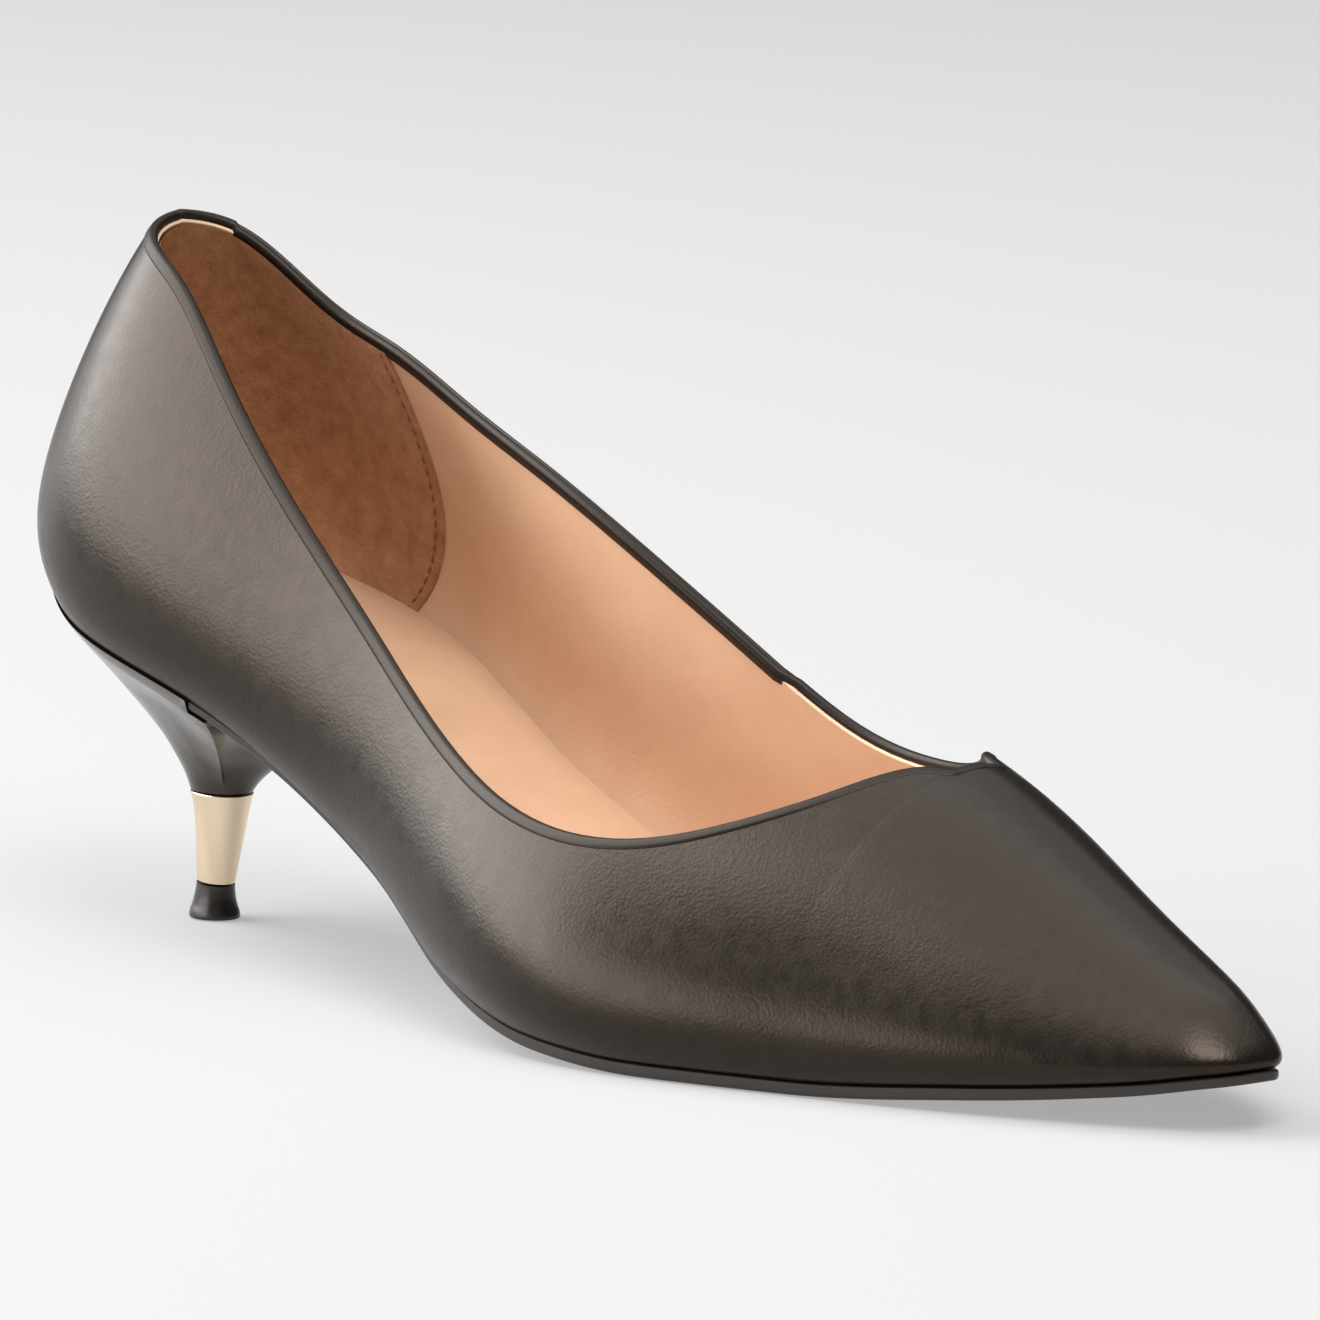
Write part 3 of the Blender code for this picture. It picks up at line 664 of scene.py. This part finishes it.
def lining(material, edge_material):
    """The tan lining, open at the top, with its cut edge just under the fold."""
    behind, near = 80, 30
    stations = upper_stations(throat_station(LINING_DROP), behind, near, 36)
    throat_index = behind + near - 2
    points, normals = lining_grid(stations, np.linspace(0, 1, 33), LINING_DROP, WALL)
    bm = bmesh.new()
    for side in SIDES:
        add_grid(bm, points[side], flip=side == "outer")
    new_piece("lining", bm, material, ("upper",))
    loop, out, over = topline_loop(points, normals, throat_index)
    bm = bmesh.new()
    bead = LINING_BEAD
    profile = ((0, 0), (bead, 0.4 * bead), (1.3 * bead, bead), (1.3 * bead, LINING), (-LINING_LIP, LINING))
    add_grid(bm, np.stack([loop + over * u + out * n for u, n in profile], axis=1), flip=True, closed=True)
    new_piece("lining_edge", bm, edge_material, ("upper",))


def skin_at(side, stations, rise):
    """The last's surface at a height over the feather line."""
    foot = feather_line(side, stations)[0]
    up = rise / (ridge_line(stations) - foot)[:, 2]
    angle = np.arcsin(up ** (last_column("fullness", stations) / 2))
    return last_skin(side, stations, angle[:, None])[:, 0]


def clear_of_wall(side, stations, rise, clear=CLEAR):
    """Points a little clear of the upper's inner face, whose wall is wider across where it slants."""
    out = feather_line(side, stations)[1]
    point = skin_at(side, stations, rise)
    climb = skin_at(side, stations, rise + WALL) - point
    slope = (climb * out).sum(axis=1) / climb[:, 2]
    return point - out * ((WALL + clear) * np.hypot(1, slope))[:, None]


def sheet_across(outer, inner, columns):
    """A grid of points from an outer row to an inner row."""
    share = np.linspace(0, 1, columns)[None, :, None]
    return outer[:, None] * (1 - share) + inner[:, None] * share


def sock(material, board_and_gap_shade):
    """The sock leather on a near-black board, a narrow gap away from the lining. The board's near-black colour is
    partly a dark board and partly painted shade for the shadow in that gap.
    """
    stations = np.linspace(0, station_of(LENGTH - INSOLE_TIP), 110)
    room = (ridge_line(stations) - feather_line("outer", stations)[0])[:, 2]
    height = np.minimum(INSOLE, INSOLE_SHARE * room)
    bm = bmesh.new()
    # The board shows in the gap by the lining; its near-black colour is partly painted shade of that gap.
    top = [clear_of_wall(side, stations, height - SOCK_THICK, -0.5 * CLEAR) for side in SIDES]
    add_grid(bm, sheet_across(*top, 9))
    new_piece("insole_board_and_gap_shade", bm, board_and_gap_shade, ("insole",))

    rows = {side: clear_of_wall(side, stations, height) for side in SIDES}
    outs = {side: feather_line(side, stations)[1] for side in SIDES}
    places, shares = column(GAP_ROWS, GAP_COLUMNS, "along"), column(GAP_ROWS, GAP_COLUMNS, "gap")
    gap = SOCK_GAP * np.interp(stations, places, shares)[:, None]
    rings = []
    for inward, down in ((0, SOCK_THICK), (0, SOCK_ROUND), (0.3, 0.3 * SOCK_ROUND), (1.0, 0)):
        ring = []
        for side in SIDES:
            row = rows[side] - outs[side] * (gap + inward * SOCK_ROUND)
            row[:, 2] -= down
            ring.append(row)
        rings.append(ring)
    bm = bmesh.new()
    for index, side in enumerate(SIDES):
        add_grid(bm, np.stack([ring[index] for ring in rings], axis=1), flip=side == "inner")
    ends = np.stack([sheet_across(*ring, 13)[-1] for ring in rings], axis=0)
    add_grid(bm, ends, flip=True)
    add_grid(bm, sheet_across(*rings[-1], 13))
    new_piece("sock", bm, material, ("insole",), sharp=60)


def sole_column(name, stations):
    knots = station_of(column(SOLE_ROWS, SOLE_COLUMNS, "along") * LENGTH)
    return level(stations, knots, column(SOLE_ROWS, SOLE_COLUMNS, name))


def sole_ring(stations, inset, drop, floor=0.0):
    """The feather line of both sides, moved in and down, but not below the floor."""
    ring = []
    for side in SIDES:
        foot, out = feather_line(side, stations)
        row = foot - out * np.reshape(inset, (-1, 1))
        row[:, 2] = np.maximum(row[:, 2] - drop, floor)
        ring.append(row)
    return ring


def sole(material):
    """The thin sole with a softly rounded edge."""
    stations = np.linspace(station_of(SOLE_END_X + CLEAR), 1, 150)
    inset = BALL_WIDTH * sole_column("inset", stations)
    thick = SOLE * sole_column("thick", stations)
    rings = [
        sole_ring(stations, inset + SOLE_RIM, CLEAR),
        sole_ring(stations, inset + SOLE_RIM_ROUND, CLEAR),
        sole_ring(stations, inset, CLEAR + SOLE_RIM_DROP, SOLE_RIM_LEAST),
    ]
    for turn in np.linspace(0, math.pi / 2, 6):
        up = SOLE_BEVEL * (1 - math.sin(turn))
        rings.append(sole_ring(stations, inset + SOLE_BEVEL * (1 - math.cos(turn)), CLEAR + thick - up, up))
    bm = bmesh.new()
    for index, side in enumerate(SIDES):
        add_grid(bm, np.stack([ring[index] for ring in rings], axis=1), flip=side == "outer")
    add_grid(bm, sheet_across(*rings[-1], 7), flip=True)
    add_grid(bm, sheet_across(*rings[0], 7))
    add_grid(bm, np.stack([sheet_across(*ring, 7)[0] for ring in rings], axis=0), flip=True)
    new_piece("sole", bm, material, ("outsole",), sharp=50)


def stem_oval(radius, z, angles):
    """An oval around the stem, which leans forward and is cut a little aslant above the lift."""
    ahead = radius * np.cos(angles)
    middle = STEM_X + STEM_LEAN * (1 - math.cos(math.pi * z / STEM_TOP)) / 2
    heights = z - ahead * STEM_TILT * np.interp(z, [0, LIFT_TOP, STEM_TOP], [0, 1, 0.3])
    return np.stack([middle + ahead, radius * STEM_OVAL * np.sin(angles), heights], -1)


def around_seat(outer, inner):
    """One row of points around the seat, from the outer side over the back to the inner side and the breast."""
    across = np.linspace(outer[-1], inner[-1], 22)[1:-1]
    return np.concatenate([outer[::-1], inner[1:], across[::-1]])


def heel_block(material):
    """The glossy block: from the seat, notched for the sole's end, it narrows to the collar."""
    back = np.linspace(0, station_of(SOLE_END_X), 44)
    front = np.linspace(station_of(SOLE_END_X + NOTCH), station_of(BREAST_X), 16)
    stations = np.concatenate([back, front])
    under_sole = np.arange(len(stations)) >= len(back)
    inset = BALL_WIDTH * sole_column("inset", stations)
    cut = SOLE * sole_column("thick", stations) + CLEAR
    ramp = np.clip(stations / station_of(SOLE_END_X), 0, 1) ** 4
    stepped = np.where(under_sole, inset, -SEAT_OUTSET)
    outer, inner = sole_ring(stations, stepped, CLEAR + np.where(under_sole, cut, 0))
    top = around_seat(outer, inner)
    around = around_seat(*sole_ring(stations, inset * ramp - SEAT_OUTSET * (1 - ramp), CLEAR + cut * ramp))
    angles = np.arctan2(around[:, 1] / inner[:, 1].max(), around[:, 0] / STEM_X - 1)
    shoulder = stem_oval(STEM_RADIUS, STEM_TOP, angles)
    knots = column(HEEL_ROWS, HEEL_COLUMNS, "rise")
    rises = np.linspace(0.97, 0, 44)
    behind = smooth(rises, knots, column(HEEL_ROWS, HEEL_COLUMNS, "back"))
    before = smooth(rises, knots, column(HEEL_ROWS, HEEL_COLUMNS, "front"))
    ahead = np.clip(np.cos(angles), 0, 1) ** 2
    corner = np.maximum(1, np.hypot(around[:, 0] - STEM_X, around[:, 1]) / (BREAST_X - STEM_X))
    rings = [top]
    for rise, at_back, at_front in zip(rises, behind, before):
        spread = (at_back + (at_front - at_back) * ahead) / corner ** (1 - rise)
        ring = shoulder + (around - shoulder) * spread[:, None]
        ring[:, 2] = shoulder[:, 2] + (around - shoulder)[:, 2] * rise
        rings.append(ring)
    rings.append(stem_oval(STEM_RADIUS * CORE, STEM_TOP, angles))
    bm = bmesh.new()
    add_grid(bm, np.stack(rings, axis=1), closed=True)
    add_grid(bm, sheet_across(outer, inner, 5))
    new_piece("heel_block", bm, material, ("heel",), sharp=40)


def turned(name, profile, material, replaces):
    """A turned piece around the stem, squeezed to its oval. The profile holds pairs of radius and height."""
    around = np.linspace(0, 2 * math.pi, 97)[:-1]
    rows = [stem_oval(radius, z, around) for radius, z in profile]
    bm = bmesh.new()
    add_grid(bm, np.stack(rows, axis=1), closed=True)
    new_piece(name, bm, material, replaces, sharp=35)


def collar(material):
    """The metal sleeve, its edges rolled a little."""
    top, foot = STEM_TOP - CLEAR, LIFT_TOP
    quarter_turn = np.linspace(0, math.pi / 2, 6)
    roll = [(COLLAR_ROLL * (1 - math.sin(turn)), COLLAR_ROLL * (1 - math.cos(turn))) for turn in quarter_turn]
    profile = [(CORE * STEM_RADIUS, top)]
    profile += [(STEM_RADIUS - inward, top - down) for inward, down in roll]
    for share in np.linspace(0.95, 0.05, 28):
        spread = share * (1 - COLLAR_FLARE) + COLLAR_FLARE * share**6
        profile.append((COLLAR_RADIUS + (STEM_RADIUS - COLLAR_RADIUS) * spread, foot + (top - foot) * share))
    profile += [(COLLAR_RADIUS - inward, foot + up) for inward, up in roll[::-1]]
    profile.append((CORE * COLLAR_RADIUS, foot))
    turned("heel_sleeve", profile[::-1], material, ("heel_collar",))


def lift(material):
    """The flared lift, closed to a pinhole above and below."""
    top, pinhole = LIFT_TOP - CLEAR, 0.0001
    drops = np.linspace(0, 1, 24)
    spreads = level(drops, column(LIFT_ROWS, LIFT_COLUMNS, "drop"), column(LIFT_ROWS, LIFT_COLUMNS, "spread"))
    radii = COLLAR_RADIUS + (LIFT_RADIUS - COLLAR_RADIUS) * spreads
    profile = [(pinhole, top), *zip(radii, top * (1 - drops)), (pinhole, 0)]
    turned("heel_lift", profile[::-1], material, ("top_lift",))


def grip_front(rise):
    return smooth(rise, column(GRIP_ROWS, GRIP_COLUMNS, "rise"), column(GRIP_ROWS, GRIP_COLUMNS, "ahead"))


def grip_point(side, x, rise, depth):
    """Points on the lining at a distance from the back and a share of the wall's height there."""
    stations = station_of(x)
    top = topline_angle(side, stations, LINING_DROP)
    angle = (GRIP_FOOT + (1 - GRIP_FOOT) * rise) * top
    point = last_skin(side, stations, angle[:, None])[:, 0]
    normal = skin_normals(side, stations, angle[:, None])[:, 0]
    normal[x <= 0, 1] = 0
    return point - normal * depth, normal


def heel_grip(material, thread_material):
    """Suede inside the back, with a row of stitches behind its front edge on both sides."""
    rises = np.linspace(0, 1, 36)
    shares = np.linspace(0, 1, 40)
    bm = bmesh.new()
    for side in SIDES:
        grid = np.zeros((len(shares) + 2, len(rises), 3))
        for j, rise in enumerate(rises):
            reach = grip_front(np.array([rise]))[0]
            x = reach * (1 - np.cos(shares * math.pi / 2))
            grid[: len(shares), j] = grip_point(side, x, rise, WALL + GRIP)[0]
            for extra, sink in ((0, 0.35 * GRIP), (1, -0.1 * GRIP)):
                past = np.array([reach + GRIP_EDGE * (1 + 0.2 * extra)])
                grid[len(shares) + extra, j] = grip_point(side, past, rise, WALL + sink)[0][0]
        add_grid(bm, grid, flip=side == "outer")
    new_piece("heel_grip", bm, material, ("upper",), weld=2e-5)
    stitches(thread_material)


def stitches(material):
    """Short raised threads in a row behind the grip's front edge."""
    bm = bmesh.new()
    for side in SIDES:
        for k in range(STITCHES):
            rises = (k + np.array([0.16, 0.5, 0.84])) / STITCHES
            reaches = grip_front(rises) - STITCH_BEHIND
            places = [grip_point(side, np.array([x]), rise, WALL + GRIP) for x, rise in zip(reaches, rises)]
            add_stitch(bm, [point[0] for point, _ in places], places[1][1][0])
    new_piece("grip_stitches", bm, material, ("upper",))


def add_stitch(bm, spine, normal):
    """A short thread that rises from the surface and sinks back into it."""
    along = spine[2] - spine[0]
    along /= np.linalg.norm(along)
    across = np.cross(normal, along)
    around = np.linspace(0, 2 * math.pi, 9)
    rows = []
    for share in np.linspace(0, 1, 7):
        arch = math.sin(math.pi * share)
        middle = spine[0] * (1 - share) + spine[2] * share - normal * (STITCH_SUNK + STITCH_RISE * arch)
        radius = STITCH_RADIUS * (0.35 + 0.65 * arch**0.5)
        rows.append([middle + across * radius * math.cos(a) + normal * radius * math.sin(a) for a in around])
    add_grid(bm, np.array(rows))


def direction(azimuth, elevation):
    """The unit vector to a place seen from the shoe. Azimuth 0 is the outer side, 90 degrees the toe."""
    azimuth, elevation = math.radians(azimuth), math.radians(elevation)
    level_part = math.cos(elevation)
    return Vector((math.sin(azimuth) * level_part, -math.cos(azimuth) * level_part, math.sin(elevation)))


def camera():
    """The view of the photograph."""
    back = direction(VIEW_AZIMUTH, VIEW_ELEVATION)
    azimuth = math.radians(VIEW_AZIMUTH)
    right = Vector((math.cos(azimuth), math.sin(azimuth), 0))
    turned_by = Matrix.Rotation(math.radians(VIEW_ROLL), 3, back)
    right = turned_by @ right
    up = back.cross(right)
    data = bpy.data.cameras.new("camera")
    data.sensor_width = SENSOR
    data.lens = VIEW_FOCAL * SENSOR / FRAME_PIXELS
    data.clip_end = 50
    view = bpy.data.objects.new("camera", data)
    turn = Matrix((right, up, back)).transposed().to_4x4()
    view.matrix_world = Matrix.Translation(Vector(TARGET) + back * VIEW_DISTANCE) @ turn
    bpy.context.scene.collection.objects.link(view)
    bpy.context.scene.camera = view


def floor():
    """A wide pale floor that glows a little, so that it stays even under the soft lights."""
    bm = bmesh.new()
    bmesh.ops.create_grid(bm, x_segments=1, y_segments=1, size=6)
    mesh = bpy.data.meshes.new("floor")
    bm.to_mesh(mesh)
    bm.free()
    plane = bpy.data.objects.new("floor", mesh)
    plane.location = (0, 0, -FLOOR_DROP)
    shader = Shader("floor", (FLOOR_SHADE, FLOOR_SHADE, FLOOR_SHADE), 0.9, specular=0.0)
    shader.surface.inputs["Emission Color"].default_value = (1, 1, 1, 1)
    shader.surface.inputs["Emission Strength"].default_value = FLOOR_GLOW
    mesh.materials.append(shader.material)
    bpy.context.scene.collection.objects.link(plane)


def lights():
    """Large soft lights, a faint world and the plain view transform."""
    for row in LIGHT_ROWS:
        values = dict(zip(LIGHT_COLUMNS, row))
        away = direction(values["azimuth"], values["elevation"])
        data = bpy.data.lights.new(values["name"], "AREA")
        data.shape = "RECTANGLE"
        data.size, data.size_y = values["width"], values["height"]
        data.energy = values["power"]
        lamp = bpy.data.objects.new(values["name"], data)
        lamp.location = Vector(LIT) + away * values["distance"]
        lamp.rotation_euler = away.to_track_quat("Z", "Y").to_euler()
        bpy.context.scene.collection.objects.link(lamp)
    world = bpy.data.worlds.new("studio")
    world.use_nodes = True
    world.node_tree.nodes["Background"].inputs["Color"].default_value = (1, 1, 1, 1)
    world.node_tree.nodes["Background"].inputs["Strength"].default_value = WORLD_GLOW
    bpy.context.scene.world = world
    bpy.context.scene.view_settings.view_transform = "Standard"


def main():
    upper_leather(black_leather(), edge_leather())
    lining(tan_leather(), raw_edge())
    sock(sock_leather(), dark_board_and_gap_shade())
    heel_grip(suede(), thread())
    sole(sole_finish())
    heel_block(heel_gloss())
    collar(gold())
    lift(lift_plastic())
    camera()
    floor()
    lights()


main()
